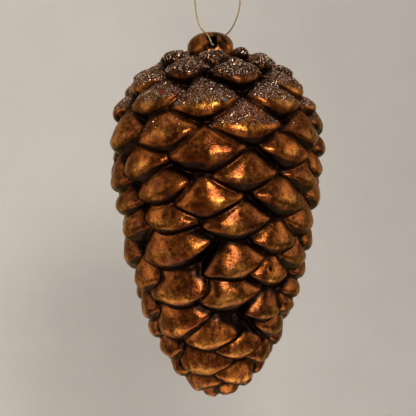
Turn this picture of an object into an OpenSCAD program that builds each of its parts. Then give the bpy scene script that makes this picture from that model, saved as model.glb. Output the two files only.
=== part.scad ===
/* [Body] */
// Length of the cone from the top of the stem knob to the tip
cone_l = 200; // [180:1:240]
// Width of the cone over its fullest scales
cone_w = 120; // [108:1:140]
// Drop from the top of the knob to the fullest width
full_drop = 60; // [50:1:75]
// Drop from the top of the knob to the top of the crown
crown_drop = 6; // [4:0.5:9]
// Offset of the cone's axis to the right of the knob's, as carved
body_side = 2; // [0:0.5:4]

/* [Scales] */
// Width of the largest scale
scale_w = 48; // [42:0.5:54]
// Reach of a scale above its middle, tucked under its upper neighbours
scale_up = 17; // [14:0.5:20]
// Reach of a scale below its middle, down to its lip
scale_down = 14; // [12:0.5:16]
// Height of a scale over the crease around it
scale_rise = 9; // [6:0.25:11]
// Share of the full size that a scale keeps at the very tip of the cone
tip_share = 0.3; // [0.2:0.05:0.5]
// Extra height of the scales on the crown, as a share of the usual height
crown_rise = 0.5; // [0:0.05:0.9]

/* [Stem knob] */
// Width of the knob
knob_w = 26; // [22:0.5:30]
// Height of the knob
knob_h = 20; // [17:0.5:24]
// Width of the oval thread hole
hole_w = 4.2; // [3:0.1:5]
// Height of the oval thread hole
hole_h = 6.4; // [5.2:0.1:7.5]
// Drop from the top of the knob to the middle of the hole
hole_drop = 5.2; // [5:0.1:6]
// Offset of the hole to the right of the cone's axis
hole_side = 1; // [-1:0.1:2]

/* [Thread] */
// Diameter of the hanging thread
thread_d = 0.8; // [0.5:0.1:1.2]
// Width of the knot that closes the loop
knot_w = 3; // [2.4:0.1:4]
// Height of the knot
knot_h = 3.6; // [3:0.1:5]

/* [Hidden] */

// Height of the loop: from the inside of its top, where a hook bears, to the top of the knob
loop_h = 60;
// Places of the scales on the front half, from the crown to the tip: the bearing from the front in
// degrees, the drop in hundredths of the cone's length, the width in hundredths of the largest
// and the turn in degrees, the right corner upwards
front_places = [
  [-58, 6, 42, 25], [-3, 5, 46, 0], [38, 5, 18, 0], [50, 7.4, 34, -10],
  [-27, 8, 60, 8], [18, 8.8, 66, -5], [72, 9.8, 34, -10], [-64, 11.5, 66, 15],
  [61, 12.5, 80, -10], [-7, 16, 88, 9], [-42, 15.6, 84, 20], [45, 15.8, 87, -10],
  [-86, 19.2, 62, 10], [76, 18.5, 44, 0], [18, 22.7, 97, 0], [-31, 25.4, 95, 14],
  [86, 23.5, 82, -5], [60, 26.5, 94, -10], [-65, 27, 94, 15], [-6, 30.8, 103, 8],
  [47, 31.2, 90, -9], [84, 31, 66, 0], [-47, 34.8, 90, 15], [18, 37, 87, 3],
  [77, 36.4, 77, -5], [60, 38.8, 82, -8], [-34, 41, 84, 15], [-75, 39.6, 82, 10],
  [-5, 44, 89, 8], [44, 44, 95, -10], [84, 44.5, 77, -5], [-66, 45.6, 82, 10],
  [-30, 49.3, 79, -3], [13, 50, 87, 6], [65, 50.8, 88, -8], [-60, 51.5, 82, 8],
  [42, 55.5, 74, -4], [-30, 57.8, 104, 15], [80, 56.5, 73, 0], [-80, 60, 84, 5],
  [64, 60, 84, -5], [12, 61.8, 81, 17], [40, 64.4, 67, -3], [80, 64.7, 67, 0],
  [-60, 66, 84, 5], [-33, 69, 104, 5], [9, 70, 84, 10], [76, 70, 67, 0],
  [43, 74.5, 62, 10], [67, 73.5, 69, -5], [-75, 75.3, 73, 5], [-38, 78.3, 98, 16],
  [-5, 82, 80, 9], [60, 79.5, 69, -5], [24, 85, 69, 11], [82, 83, 56, 0],
  [-80, 80.5, 67, 5], [58, 87.5, 65, -5], [-68, 86, 67, 5], [-20, 90, 84, 6],
  [-72, 92, 62, 0], [38, 93.4, 76, -5], [80, 92, 56, 0], [-38, 95.4, 66, -5],
  [88, 95.5, 50, 0], [-80, 97.5, 45, 0], [35, 98.6, 50, 0], [-20, 99, 45, 0]
];
// The back of the cone repeats the front half, turned half a turn and a little lower, without the
// scales at the sides
side_bearing = 78;
back_lower = 1.2;
last_drop = 99;
back_places = [for (p = front_places) if (abs(p[0]) <= side_bearing)
  [p[0] + 180, min(p[1] + back_lower, last_drop), p[2], p[3]]];
places = [for (p = concat(front_places, back_places)) [p[0], p[1] / 100 * cone_l, p[2] / 100, p[3]]];

// Roundness of the outline above and below the fullest width
crown_power = 2;
crown_end = 0.55;
tail_power = 1.6;
tail_end = 0.5;
// Share along the outline at which it is cut short of the two ends, where its slope is endless
end_cut = 0.995;
// Fullness of the lip between its corners: 0 is straight
lip_round = 0.5;
// Place of the keel between the corners and the lip, and the roundness of its fall to the corners
keel_share = 0.16;
ridge_power = 2.4;
ridge_round = 0.75;
// Roundness of the gentle upper face and of the steep lower one
upper_power = 1.6;
lower_power = 2.4;
lower_round = 0.8;
// Points of a scale's back: along its edge, on its two faces and along its keel
edge_across = [-1, -0.5, 0, 0.5, 1];
face_across = [-0.5, 0, 0.5];
face_parts = [-0.5, 0.6];
keel_across = [-0.8, -0.4, 0, 0.4, 0.8];
// Lean of a scale down the cone, as a share of its height
scale_lean = 0.3;
// Least height of a scale from its top to its lip, as a share of the largest
least_tall = 0.25;
// Drop below which no scale is raised by crown_rise
raised_drop = 36;
// Share of the outline's lean that a scale keeps: below 1 the crown's scales stand more upright
stance = 0.6;
// Least radius that a scale wraps round, so that the scales of the tip don't close on themselves
wrap_r = 7;
// Depth of the buried skirt under a scale's edge
skirt_depth = 7;
// Depth of the core under the creases, and how far it stays below the crown and above the tip
core_depth = 0.5;
core_crown_gap = 6;
core_tip_gap = 1;
core_rings = 12;
// Squareness of the knob above and below its middle
knob_square = 0.8;
knob_foot = 0.5;
// Depth of the knob's three flat dents, as a share of its width, and their turn
knob_dent = 0.025;
dent_turn = 40;
// Steps that the thread takes from one point of its route to the next, and its number of sides
route_steps = 2;
thread_sides = 8;

function unit(v) = v / norm(v);

// Distance of the full scales from the axis at a given drop
function share(drop) = drop < full_drop
  ? (full_drop - drop) / (full_drop - crown_drop)
  : (drop - full_drop) / (cone_l - full_drop);
function outline_r(drop) = let (t = min(share(drop), end_cut)) cone_w / 2 * (drop < full_drop
  ? pow(1 - pow(t, crown_power), crown_end)
  : pow(1 - pow(t, tail_power), tail_end));
// Direction down the outline as [radial, down], of unit length
function slope(drop) = let (step = 1) unit([outline_r(drop + step) - outline_r(drop - step), 2 * step]);
// The same for a scale, which stands more upright on the crown than the outline does
function stand(drop) = let (v = slope(drop)) v[0] > 0 ? unit([v[0] * stance, v[1]]) : v;
// Height of the scales at a given drop, as a share of the largest
function size_at(drop) = tip_share + (1 - tip_share) * outline_r(drop) / (cone_w / 2);
function raise_at(drop) = size_at(drop) * (1 + crown_rise * max(1 - drop / raised_drop, 0));

// A point of a scale: x across it, y down it and lift off the crease, on a cone that curves
function scale_point(place, x, y, lift) =
  let (drop = place[1], size = place[2], turn = place[3], t = stand(drop), n = [t[1], -t[0]],
       base = [outline_r(drop), drop] - n * scale_rise * size_at(drop),
       wide = x * size,
       tall = y * (least_tall + (1 - least_tall) * size),
       u = wide * cos(turn) + tall * sin(turn),
       v = tall * cos(turn) - wide * sin(turn),
       p = base + t * v + n * lift * raise_at(drop),
       bearing = place[0] + u / max(base[0], wrap_r) * 180 / PI)
  [p[0] * sin(bearing) + body_side, -p[0] * cos(bearing), -loop_h - p[1]];

// Outline of a scale and the line of its keel: q is the share of the way to a corner
function lip(q) = scale_down * (1 - q) * (1 + lip_round * q);
function keel(q) = keel_share * lip(q);
function ridge(q) = scale_rise * pow(1 - pow(q, ridge_power), ridge_round);

// A point of a scale's back. Across is -1 and 1 at the corners. Part is -1 at the upper edge, 0 on
// the keel and 1 at the lip. Sink is the depth of a point of the skirt
function back_point(place, across, part, sink = 0) =
  let (q = abs(across),
       edge = part < 0 ? -scale_up * (1 - q) : lip(q),
       high = part < 0 ? 1 - pow(-part, upper_power) : pow(1 - pow(part, lower_power), lower_round),
       lift = ridge(q) * high)
  scale_point(place, across * scale_w / 2, keel(q) + (edge - keel(q)) * abs(part) + scale_lean * lift,
              lift - sink);

// One scale: a lozenge with a soft keel from corner to corner, steep under it down to a round lip
module pine_scale(place) {
  edge = [for (sink = [0, skirt_depth]) for (part = [-1, 1]) for (across = edge_across)
    back_point(place, across, part, sink)];
  faces = [for (part = face_parts) for (across = face_across) back_point(place, across, part)];
  keel = [for (across = keel_across) back_point(place, across, 0)];
  points = concat(edge, faces, keel);
  hull() polyhedron(points, [[for (i = [0:len(points) - 1]) i]]);
}

// The solid core that carries the scales
module core() {
  first = crown_drop + core_crown_gap;
  last = cone_l - core_tip_gap;
  side = [for (i = [0:core_rings])
    let (drop = first + (last - first) * i / core_rings, t = slope(drop),
         depth = scale_rise * size_at(drop) + core_depth)
    [max(outline_r(drop) - t[1] * depth, 0), -drop - t[0] * depth]];
  translate([body_side, 0, -loop_h])
    rotate_extrude($fn = 32)
      polygon(concat([[0, -first]], side, [[0, -last]]));
}

// The knob: a bun with a flat top, steep sides and three shallow dents, as carved from a twig end
module knob() {
  turns = 16;
  points = [for (tilt = [-54:18:72]) for (i = [0:turns - 1])
    let (a = 360 * i / turns,
         dent = 1 - knob_dent * (1 + cos(3 * a + dent_turn)),
         r = knob_w / 2 * pow(cos(tilt), tilt < 0 ? knob_foot : knob_square) * dent)
    [r * cos(a), r * sin(a), knob_h / 2 * sin(tilt)]];
  top = [[0, 0, knob_h / 2]];
  translate([0, 0, -loop_h - knob_h / 2])
    hull() polyhedron(concat(points, top), [[for (i = [0:len(points)]) i]]);
}

// The oval hole runs through the knob from front to back
module thread_hole() {
  end = (hole_h - hole_w) / 2;
  through = knob_w + knob_h;
  translate([hole_side, 0, -loop_h - hole_drop]) rotate([90, 0, 0]) hull()
    for (z = [-end, end])
      translate([0, z, 0]) cylinder(h = through, d = hole_w, center = true, $fn = 20);
}

module cone() {
  color("peru") difference() {
    union() {
      core();
      knob();
      for (place = places) pine_scale(place);
    }
    thread_hole();
  }
}

// Route of the thread: from the knot down the left side, over the knob's shoulder, in at the front
// of the hole, out at the back and up the right side to the knot again
thread_route = [
  [-0.6, 0, 0.8], [-2.8, 0, -6], [-6, 0, -18], [-8.1, 0, -30], [-8.6, 0, -42], [-8.1, -0.2, -49],
  [-6.8, -0.6, -55], [-4.8, -2, -58.9], [-3, -5.8, -60.3], [-1.9, -9, -61.5],
  [-0.8, -11.5, -63.4], [0, -12, -65.6], [0.3, -10.4, -67.2], [0.6, -8, -67.4], [0.8, -4, -67.4],
  [1, 0, -67.4], [1.2, 4, -67.4], [1.4, 7.6, -67.4], [1.7, 10.4, -67.4], [2.3, 12.8, -66.8],
  [3.8, 13.8, -65], [6, 12.4, -63.2], [8.8, 8.6, -61.2], [11.3, 4.2, -58.2], [13.6, 1.4, -53.6],
  [15.3, 0.3, -48], [15.8, 0, -42], [14.6, 0, -30], [10.8, 0, -18], [4.9, 0, -6], [0.6, 0, 0.8]
];
// Smooth curve through the route: each stretch leans on the point before it and the one after
function route(i) = thread_route[max(0, min(len(thread_route) - 1, i))];
function curve(i, t) =
  0.5 * (2 * route(i) + (route(i + 1) - route(i - 1)) * t
    + (2 * route(i - 1) - 5 * route(i) + 4 * route(i + 1) - route(i + 2)) * t * t
    + (3 * route(i) - route(i - 1) - 3 * route(i + 1) + route(i + 2)) * t * t * t);
line = [for (i = [0:len(thread_route) - 2]) for (k = [0:route_steps - 1]) curve(i, k / route_steps),
        route(len(thread_route) - 1)];
function ahead(i) = unit(line[min(i + 1, len(line) - 1)] - line[max(i - 1, 0)]);
// Each ring keeps the side direction of the one before it, so the tube doesn't twist
sides = [for (i = 0, s = unit(cross(ahead(0), [0, 1, 0])); i < len(line);
  i = i + 1, s = i < len(line) ? unit(s - (s * ahead(i)) * ahead(i)) : s) s];

module hanging_thread() {
  n = thread_sides;
  last = len(line) - 1;
  points = [for (i = [0:last]) for (k = [0:n - 1])
    line[i] + thread_d / 2 * (cos(360 * k / n) * sides[i] + sin(360 * k / n) * cross(ahead(i), sides[i]))];
  walls = [for (i = [0:last - 1]) for (k = [0:n - 1])
    [i * n + k, (i + 1) * n + k, (i + 1) * n + (k + 1) % n, i * n + (k + 1) % n]];
  caps = [[for (k = [0:n - 1]) k], [for (k = [n - 1:-1:0]) last * n + k]];
  color("darkkhaki") polyhedron(points, concat(walls, caps));
}

// The knot: a small round lump with a flattened underside, which rests on the hook
module thread_knot() {
  foot_w = knot_w * 2 / 3;
  foot_h = knot_h / 9;
  color("darkkhaki") hull() {
    translate([0, 0, knot_h / 2]) scale([knot_w, knot_w, knot_h]) sphere(d = 1, $fn = 12);
    cylinder(h = foot_h, d = foot_w, $fn = 12);
  }
}

cone();
hanging_thread();
thread_knot();
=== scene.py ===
# %% [markdown]
# Pine cone ornament: a lesson in Blender.
#
# The real object is one moulded pine cone in antiqued copper leaf, with an oval hole through its
# stem knob and a loop of thin gold thread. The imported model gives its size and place. This script
# dresses it: it makes the scales, the knob, the thread, the glitter and their finishes, all in
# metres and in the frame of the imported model, with the origin under the loop's knot.

# %% Load the frame
import bpy
import math
import numpy as np
from mathutils import Matrix, Vector


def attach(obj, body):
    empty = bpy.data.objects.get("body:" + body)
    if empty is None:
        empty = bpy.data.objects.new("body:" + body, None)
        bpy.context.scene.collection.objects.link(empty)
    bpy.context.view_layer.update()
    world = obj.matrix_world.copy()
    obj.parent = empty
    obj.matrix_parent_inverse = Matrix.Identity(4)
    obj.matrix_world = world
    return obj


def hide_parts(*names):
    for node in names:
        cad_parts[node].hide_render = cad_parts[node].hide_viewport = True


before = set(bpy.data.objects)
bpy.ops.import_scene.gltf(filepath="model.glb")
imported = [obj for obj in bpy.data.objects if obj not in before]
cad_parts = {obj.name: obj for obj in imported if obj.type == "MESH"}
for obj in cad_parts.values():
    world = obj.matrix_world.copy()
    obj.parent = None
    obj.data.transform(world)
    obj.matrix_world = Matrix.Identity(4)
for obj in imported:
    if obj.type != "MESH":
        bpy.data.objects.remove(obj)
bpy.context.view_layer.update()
MM = 0.001

# %% [markdown]
# The camera stands where the photographer stood: level with the cone's middle and a little above,
# so that the top of the knob just shows. The photograph leans by half a degree. A long lens from
# 1.3 m keeps the cone's sides nearly parallel, as they are in the picture. It could be placed by
# eye, but a target point, a distance and half the height of the view say it in real sizes.

# %% Camera
VIEW_TARGET = Vector((-0.0025, 0, -0.156))
VIEW_DISTANCE = 1.3
VIEW_HALF = 0.11365
VIEW_UP = math.radians(5)
VIEW_LEAN = math.radians(0.5)
SENSOR_W = 36


def add_object(name, data):
    """Puts an object that holds the data into the scene."""
    thing = bpy.data.objects.new(name, data)
    bpy.context.scene.collection.objects.link(thing)
    return thing


def make_camera():
    """The camera sits on a line from the target, raised by the angle VIEW_UP. Its lens is the
    sensor's width times the distance over the full height of the view."""
    camera = add_object("camera", bpy.data.cameras.new("camera"))
    back = Vector((0, -math.cos(VIEW_UP), math.sin(VIEW_UP)))
    facing = (-back).to_track_quat("-Z", "Y").to_matrix() @ Matrix.Rotation(-VIEW_LEAN, 3, "Z")
    camera.location = VIEW_TARGET + back * VIEW_DISTANCE
    camera.rotation_euler = facing.to_euler()
    camera.data.sensor_width = SENSOR_W
    camera.data.lens = SENSOR_W * VIEW_DISTANCE / (2 * VIEW_HALF)
    bpy.context.scene.camera = camera
    return camera


camera = make_camera()
print(f"camera lens {camera.data.lens:.0f} mm")

# %% [markdown]
# The thread is one length of 0.8 mm metallic thread. It comes down from the knot on the left, lies
# on the knob's shoulder, goes in at the front of the hole, out at the back and up again. Its route
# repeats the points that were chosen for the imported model, and the same smooth rule joins them, so
# that it lies exactly where the model's plain tube does. Only its lower half is in the picture.
# Above the picture the two strands close to a loop.

# %% Thread route
THREAD_D = 0.0008
KNOT_POINT = (-0.6, 0, 0.8)
THREAD_ROUTE = [
    KNOT_POINT, (-2.8, 0, -6), (-6, 0, -18), (-8.1, 0, -30), (-8.6, 0, -42), (-8.1, -0.2, -49),
    (-6.8, -0.6, -55), (-4.8, -2, -58.9), (-3, -5.8, -60.3), (-1.9, -9, -61.5),
    (-0.8, -11.5, -63.4), (0, -12, -65.6), (0.3, -10.4, -67.2), (0.6, -8, -67.4), (0.8, -4, -67.4),
    (1, 0, -67.4), (1.2, 4, -67.4), (1.4, 7.6, -67.4), (1.7, 10.4, -67.4), (2.3, 12.8, -66.8),
    (3.8, 13.8, -65), (6, 12.4, -63.2), (8.8, 8.6, -61.2), (11.3, 4.2, -58.2), (13.6, 1.4, -53.6),
    (15.3, 0.3, -48), (15.8, 0, -42), (14.6, 0, -30), (10.8, 0, -18), (4.9, 0, -6), (0.6, 0, 0.8),
]
STEPS = 10


def smooth_line(points, steps):
    """Each stretch between two points is a cubic in t that leans on the point before it and the
    one after: half of 2p1 + (p2 - p0) t + (2p0 - 5p1 + 4p2 - p3) t^2
    + (3p1 - p0 - 3p2 + p3) t^3."""
    p = np.array(points, float)
    p = np.vstack([p[:1], p, p[-1:]])
    t = (np.arange(steps) / steps)[None, :, None]
    p0, p1, p2, p3 = (p[k:len(p) - 3 + k, None, :] for k in range(4))
    line = 0.5 * (2 * p1 + (p2 - p0) * t + (2 * p0 - 5 * p1 + 4 * p2 - p3) * t ** 2
                  + (3 * p1 - p0 - 3 * p2 + p3) * t ** 3)
    return np.vstack([line.reshape(-1, 3), p[-2:-1]])


thread_line = smooth_line(THREAD_ROUTE, STEPS) * MM

# %% [markdown]
# The tube itself is a curve with a round bevel. A mesh tube would look the same, but a cord stays
# one open spline here, because the cord's length, width and two ends are read from it.

# %% Thread
THREAD_FACETS = 4


def make_thread():
    """A curve of one open spline through the line's points. Its bevel is a circle of radius 1
    times the radius of each point, which is half of THREAD_D, so that the curve's own box is as
    thin as the thread."""
    data = bpy.data.curves.new("gold_thread", "CURVE")
    data.dimensions = "3D"
    data.bevel_depth = 1.0
    data.bevel_resolution = THREAD_FACETS
    data.use_fill_caps = True
    count = len(thread_line)
    spline = data.splines.new("POLY")
    spline.points.add(count - 1)
    spline.points.foreach_set("co", np.column_stack([thread_line, np.ones(count)]).ravel())
    spline.points.foreach_set("radius", np.full(count, THREAD_D / 2))
    spline.use_smooth = True
    return add_object("gold_thread", data)


thread = make_thread()
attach(thread, "root")
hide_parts("hanging_thread")
print("thread spline of", len(thread.data.splines[0].points), "points")

# %% [markdown]
# The cone's outline is a curve of radius against drop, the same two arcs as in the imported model:
# a full round crown above the widest place and a long taper below it. It could be a profile drawn
# by hand, but a formula can be changed by one number. The creases between the scales lie one
# scale's height inside it. The whole body is one surface of two parameters: the turn round the
# axis, and the distance along that crease line from the crown to the tip.

# %% Outline of the cone
LOOP_H = 60.0
CONE_L = 200.0
CONE_W = 120.0
FULL_DROP = 60.0
CROWN_DROP = 6.0
CROWN_POWER = 2.0
TAIL_POWER = 1.6
CROWN_END = 0.55
TAIL_END = 0.5
SCALE_RISE = 9.0
TIP_SHARE = 0.3
WRAP_R = 7.0
BODY_SIDE = 2.0


def outline_r(drop):
    """Half the width times (1 - t^power)^end, where t is the share of the way from the widest
    place to the crown or to the tip."""
    up = (FULL_DROP - drop) / (FULL_DROP - CROWN_DROP)
    down = (drop - FULL_DROP) / (CONE_L - FULL_DROP)
    t = np.clip(np.where(drop < FULL_DROP, up, down), 0, 1)
    power = np.where(drop < FULL_DROP, CROWN_POWER, TAIL_POWER)
    end = np.where(drop < FULL_DROP, CROWN_END, TAIL_END)
    return CONE_W / 2 * (1 - t ** power) ** end


def size_at(radius):
    """A scale's size is the least share plus the rest of it in proportion to the radius."""
    return TIP_SHARE + (1 - TIP_SHARE) * radius / (CONE_W / 2)


for drop in (20, 60, 120, 180):
    print(f"drop {drop} mm: radius {outline_r(np.array(float(drop))):.1f} mm")

# %% [markdown]
# The crease line runs where the scales' feet meet. A lathe would need this line as well: it is the
# outline moved inwards along its own normal. Evenly spaced rows keep the grid's squares about as
# tall as they are wide, which keeps small dents and pits round.

# %% Crease line
SAMPLES = 4000


def unit(vectors):
    """Each row of an array of vectors, divided by its own length."""
    return vectors / np.linalg.norm(vectors, axis=1)[:, None]


def crease_line(count):
    """The outline is sampled densely from crown to tip, moved inwards along its normal by a
    scale's height, and sampled again in even steps of its own length. It gives, for each row,
    the radius, the drop, the outward normal, the direction down and the drop on the outline."""
    sweep = np.linspace(0, math.pi, SAMPLES)
    drop = CROWN_DROP + (CONE_L - CROWN_DROP) * ((1 - np.cos(sweep)) / 2)
    radius = outline_r(drop)
    down = unit(np.stack([np.gradient(radius), np.gradient(drop)], 1))
    normal = np.stack([down[:, 1], -down[:, 0]], 1)
    inside = np.stack([radius, drop], 1) - normal * (SCALE_RISE * size_at(radius))[:, None]
    keep = inside[:, 0] > 0
    inside, normal, down, drop = inside[keep], normal[keep], down[keep], drop[keep]
    length = np.concatenate([[0], np.cumsum(np.linalg.norm(np.diff(inside, axis=0), axis=1))])
    even = np.linspace(0, length[-1], count)

    def pick(values):
        """The values at the even steps."""
        return np.interp(even, length, values)

    return dict(
        length=even, r=pick(inside[:, 0]), drop=pick(inside[:, 1]),
        normal=np.stack([pick(normal[:, 0]), pick(normal[:, 1])], 1),
        down=np.stack([pick(down[:, 0]), pick(down[:, 1])], 1),
        outline_drop=pick(drop),
    )


ROWS = 262
COLUMNS = 372
rows = crease_line(ROWS)
print(f"crease line {rows['length'][-1]:.0f} mm long, rows {rows['length'][1]:.2f} mm apart")

# %% [markdown]
# The scales were set one by one, as on the imported model: each is a bearing from the front, a drop
# in hundredths of the length, a width in hundredths of the widest and a turn, its right corner
# upwards. A spiral rule would be shorter, but a moulded cone's scales don't keep to one. The back
# repeats the front, turned by half a turn and set a little lower, without the scales at the two
# sides. A few small scales fill the gaps that this leaves at the sides and behind the knob.

# %% Places of the scales
# bearing in degrees, drop and width in hundredths, turn in degrees
FRONT_PLACES = [
    (-58, 6, 42, 25), (-3, 5.8, 44, 0), (38, 5, 18, 0), (50, 7.4, 34, -10),
    (-27, 8, 60, 8), (18, 8.8, 66, -5), (72, 9.8, 34, -10), (-64, 11.5, 66, 15),
    (61, 12.5, 80, -10), (-7, 16, 88, 9), (-42, 15.6, 84, 20), (45, 15.8, 87, -10),
    (-86, 19.2, 62, 10), (76, 18.5, 44, 0), (18, 22.7, 97, 0), (-31, 25.4, 95, 14),
    (86, 23.5, 82, -5), (60, 26.5, 94, -10), (-65, 27, 94, 15), (-6, 30.8, 103, 8),
    (47, 31.2, 90, -9), (84, 31, 66, 0), (-47, 34.8, 90, 15), (18, 37, 87, 3),
    (77, 36.4, 77, -5), (60, 38.8, 82, -8), (-34, 41, 84, 15), (-75, 39.6, 82, 10),
    (-5, 44, 89, 8), (44, 44, 95, -10), (84, 44.5, 77, -5), (-66, 45.6, 82, 10),
    (-30, 49.3, 79, -3), (13, 50, 87, 6), (65, 50.8, 88, -8), (-60, 51.5, 82, 8),
    (42, 55.5, 74, -4), (-30, 57.8, 104, 15), (80, 56.5, 73, 0), (-80, 60, 84, 5),
    (64, 60, 84, -5), (12, 61.8, 81, 17), (40, 64.4, 67, -3), (80, 64.7, 67, 0),
    (-60, 66, 84, 5), (-33, 69, 104, 5), (9, 70, 84, 10), (76, 70, 67, 0),
    (43, 74.5, 62, 10), (67, 73.5, 69, -5), (-75, 75.3, 73, 5), (-38, 78.3, 98, 16),
    (-5, 82, 80, 9), (60, 79.5, 69, -5), (24, 85, 69, 11), (82, 83, 56, 0),
    (-80, 80.5, 67, 5), (58, 87.5, 65, -5), (-68, 86, 67, 5), (-20, 90, 84, 6),
    (-72, 92, 62, 0), (38, 93.4, 76, -5), (80, 92, 56, 0), (-38, 95.4, 66, -5),
    (88, 95.5, 50, 0), (-80, 97.5, 45, 0), (35, 98.6, 50, 0), (-20, 99, 45, 0),
]
SIDE_PLACES = [
    (-96, 45.5, 62, 0), (-93, 27, 54, 0), (-90, 33.6, 44, 0), (103, 60, 56, 0), (94, 51.6, 44, 0),
    (91, 13, 44, 0), (-90, 13, 42, 0), (-100, 8.6, 38, 0), (98, 8.6, 36, 0), (180, 5.4, 40, 0),
    (-122, 5.6, 30, 0), (122, 5.6, 30, 0),
]
SIDE_BEARING = 78
BACK_LOWER = 1.2
LAST_DROP = 99
back_places = [
    (bearing + 180, min(drop + BACK_LOWER, LAST_DROP), width, lean)
    for bearing, drop, width, lean in FRONT_PLACES if abs(bearing) <= SIDE_BEARING
]


def placed(bearing, drop, width, lean):
    """A row in the units of the formulas: degrees, millimetres, a share and radians."""
    return bearing, drop / 100 * CONE_L, width / 100, math.radians(lean)


places = np.array([placed(*row) for row in FRONT_PLACES + back_places + SIDE_PLACES])
print(len(places), "scales, of which", len(SIDE_PLACES), "fill gaps")

# %% [markdown]
# A scale is a cushion on a lozenge: straight upper edges that run under the neighbours' lips, a
# round lower lip, and a soft keel from corner to corner. Its height rises gently from the upper
# edge to the keel and falls steeply to the lip. The scales of the crown stand up, so their lips
# are deeper and their upper edges rounder. Each scale could be an object of its own, joined to the
# rest, but one formula gives every vertex its height at once and leaves no seam.

# %% Height of one scale
HALF_W = 24.0
REACH_UP = 24.0
REACH_DOWN = 14.5
CORNER_SOFT = 0.1
LIP_ROUND = 0.5
KEEL_SHARE = 0.05
CREST_POWER = 2.4
CREST_END = 0.75
UPPER_POWER = 1.3
LOWER_POWER = 2.1
LOWER_END = 0.9
FALL = 0.6
CROWN_DEEP = 0.35
CROWN_ROUND = 0.9
CROWN_STEEP = 2
LEAST_WAY = 0.001


def cushion(x, y, keel_shift, keel_tilt, standing):
    """x runs from corner to corner and y down, both in millimetres of the largest scale. With q
    the share of the way to a corner, the lip lies at DOWN (1 - q)(1 + LIP_ROUND q), the upper
    edge at -UP (1 - q) and the keel a share of the way to the lip. The height is
    RISE (1 - q^CREST_POWER)^CREST_END times a curve of s, the share of the way from the keel to
    the edge: 1 - s^power above the keel and (1 - s^power)^LOWER_END below it. Outside the lozenge
    it falls by FALL times the distance. Where standing grows from 0 to 1, the lip gets deeper by
    CROWN_DEEP, the upper edge rounder by CROWN_ROUND q, and the powers greater by 1 above the
    keel and by CROWN_STEEP below it."""
    q = np.abs(x - keel_shift * (1 - np.clip(np.abs(x) / HALF_W, 0, 1))) / HALF_W
    beyond = np.clip(q - 1, 0, None) * HALF_W
    q = np.clip(q, 0, 1)
    inwards = np.clip(1 - np.sqrt(q * q + CORNER_SOFT ** 2) + CORNER_SOFT ** 2 / 2, 0, 1)
    lip = REACH_DOWN * inwards * (1 + LIP_ROUND * q) * (1 + CROWN_DEEP * standing)
    upper = -REACH_UP * inwards * (1 + CROWN_ROUND * standing * q)
    keel = KEEL_SHARE * lip + keel_tilt * x * (1 - q)
    ridge = SCALE_RISE * (1 - q ** CREST_POWER) ** CREST_END
    above = np.clip((keel - y) / np.maximum(keel - upper, LEAST_WAY), 0, 1)
    below = np.clip((y - keel) / np.maximum(lip - keel, LEAST_WAY), 0, 1)
    over_keel = 1 - above ** (UPPER_POWER + standing)
    under_keel = (1 - below ** (LOWER_POWER + CROWN_STEEP * standing)) ** LOWER_END
    out = np.hypot(beyond, np.clip(upper - y, 0, None) + np.clip(y - lip, 0, None))
    return ridge * np.where(y < keel, over_keel, under_keel) - FALL * out


middle_height = cushion(np.zeros(1), np.zeros(1), 0, 0, 0)[0]
print(f"a full scale stands {middle_height:.1f} mm high in its middle")

# %% [markdown]
# No two scales of a carved mould are alike. Each one draws a shift and a tilt of its keel and a
# share of its height. They could be written into the table, but numbers drawn from a generator
# with a fixed seed are the same in every run. The scales that fill gaps stay plain and low.

# %% Chance in the scales
SEED = 7
SHIFTS = (-3, 3)
TILTS = (-0.15, 0.15)
RISES = (0.94, 1.0)
FILL_RISE = 0.6
rng = np.random.default_rng(SEED)


def drawn(low, high, plain):
    """A random number for each scale of the front and the back, and a plain one for those that fill.
    """
    own = rng.uniform(low, high, len(places) - len(SIDE_PLACES))
    return np.append(own, np.full(len(SIDE_PLACES), plain))


shifts, tilts, rises = drawn(*SHIFTS, 0), drawn(*TILTS, 0), drawn(*RISES, FILL_RISE)
print(f"keels shifted by {shifts.min():.1f} to {shifts.max():.1f} mm")

# %% [markdown]
# On the real cone a scale is tucked under its upper neighbours. A union of solids would do that
# too, slowly. Here every point of the body takes the highest cushion that covers it, and remembers
# the second highest: where the two are nearly equal there is a crease, and it is cut a little
# deeper, as in a mould.

# %% Height of the body
FLOOR = -4.0
LEAST_TALL = 0.25
NEAR = 8.0
CROWN_RISE = 0.7
CROWN_END_DROP = 36.0
GROOVE = 1.6
GROOVE_W = 1.6
turn = (np.arange(COLUMNS) + 0.5) / COLUMNS * 2 * math.pi - math.pi


def turn_from(bearing):
    """How far each column is turned from a bearing in degrees, up to half a turn either way."""
    return (turn - math.radians(bearing) + math.pi) % (2 * math.pi) - math.pi


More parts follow.
